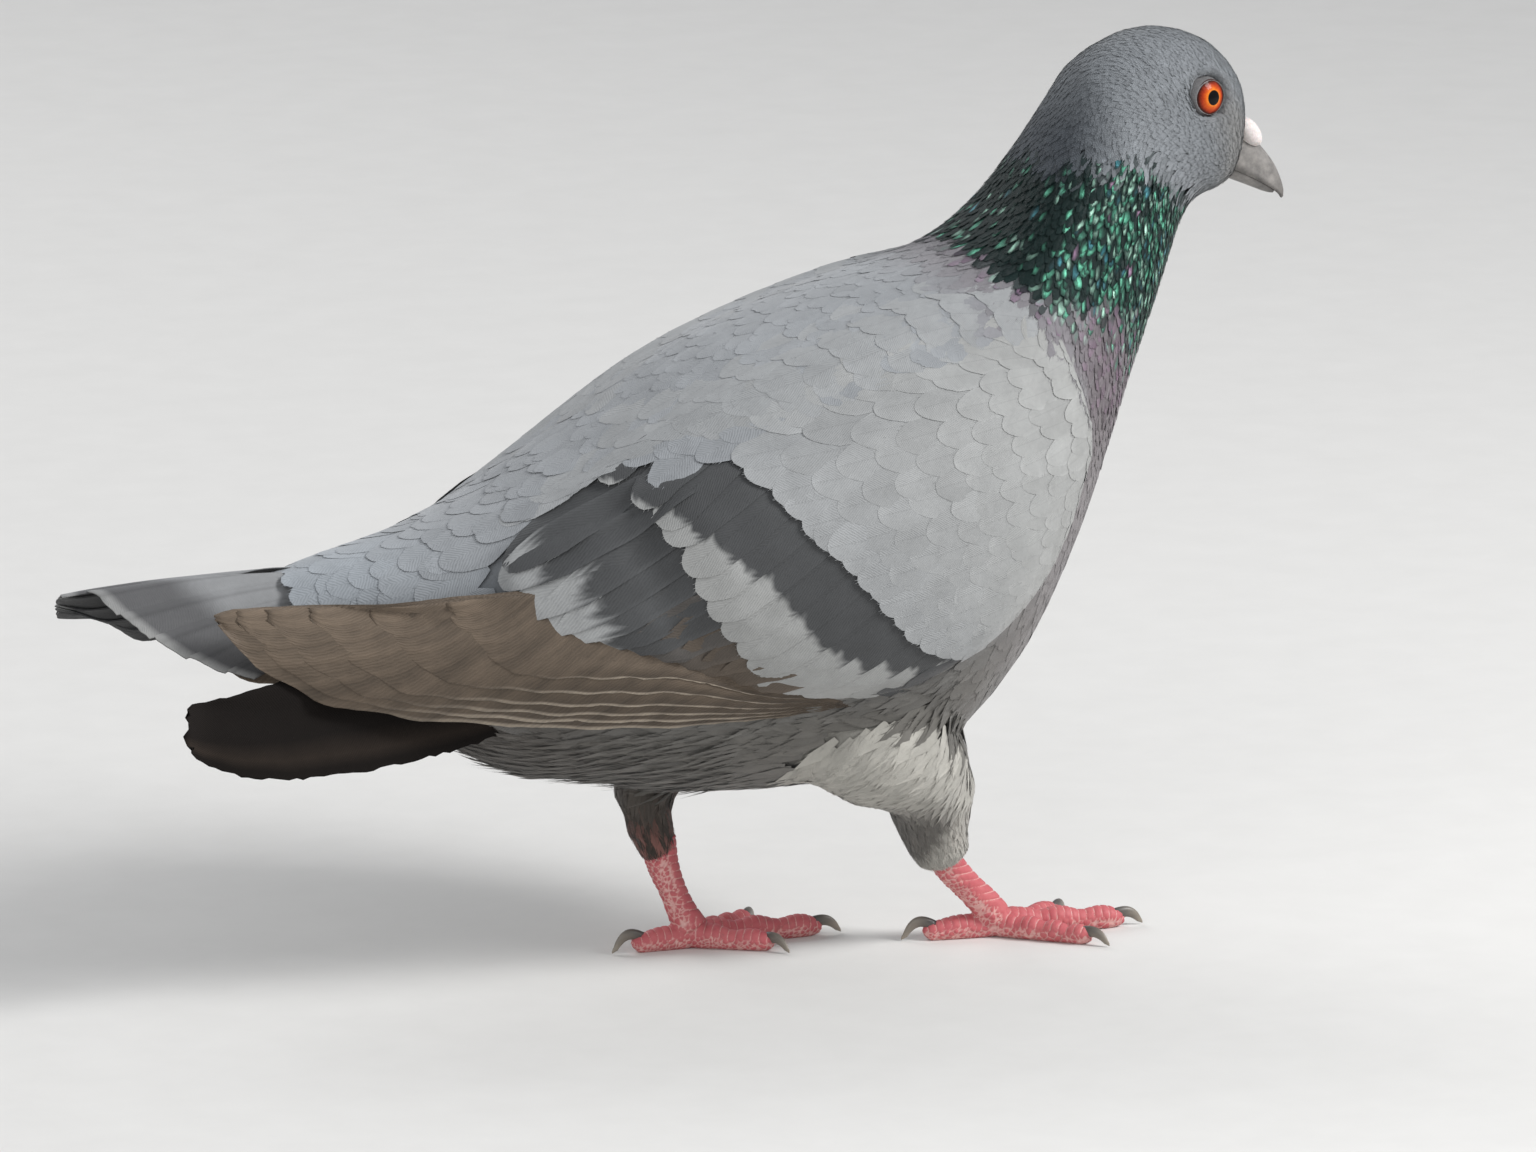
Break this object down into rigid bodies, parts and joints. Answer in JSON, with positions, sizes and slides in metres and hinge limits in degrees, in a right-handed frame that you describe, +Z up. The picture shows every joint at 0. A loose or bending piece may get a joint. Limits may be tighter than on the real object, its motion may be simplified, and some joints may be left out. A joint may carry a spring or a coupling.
{
  "type": "pigeon",
  "caption": "Life-size still model of a feral pigeon in mid-stride, with folded barred wings, an iridescent neck and pink feet.",
  "frame": {"origin": "bottom centre of the bounding box, on the floor under the middle of the bird", "axes": "+X the way the bird faces, +Y its left side, +Z up"},
  "size_m": [0.3108, 0.1104, 0.218],
  "materials": {
    "slate_feathers": "matt",
    "neck_feathers": "glossy sheen",
    "grey_feathers": "matt",
    "pale_feathers": "matt",
    "bar_feathers": "matt",
    "flight_feathers": "matt",
    "leg_skin": "scaly",
    "horn": "satin",
    "cere_white": "powdery",
    "eye_amber": "wet gloss"
  },
  "bodies": {
    "root": {"bill_lower": "horn", "bill_upper": "horn", "cere": "cere_white", "claw_left_hind": "horn", "claw_left_inner": "horn", "claw_left_middle": "horn", "claw_left_outer": "horn", "claw_right_hind": "horn", "claw_right_inner": "horn", "claw_right_middle": "horn", "claw_right_outer": "horn", "eye_left": "eye_amber", "eye_right": "eye_amber", "foot_left": "leg_skin", "foot_right": "leg_skin", "head": "slate_feathers", "neck": "neck_feathers", "primaries_left": "flight_feathers", "primaries_right": "flight_feathers", "rump": "grey_feathers", "scapulars_left": "pale_feathers", "scapulars_right": "pale_feathers", "secondaries_left": "bar_feathers", "secondaries_right": "bar_feathers", "shank_left": "leg_skin", "shank_right": "leg_skin", "tail_feather_low": "bar_feathers", "tail_left": "grey_feathers", "tail_right": "grey_feathers", "thigh_left": "grey_feathers", "thigh_right": "grey_feathers", "trunk": "grey_feathers", "wing_coverts_left": "pale_feathers", "wing_coverts_right": "pale_feathers"}
  },
  "joints": []
}
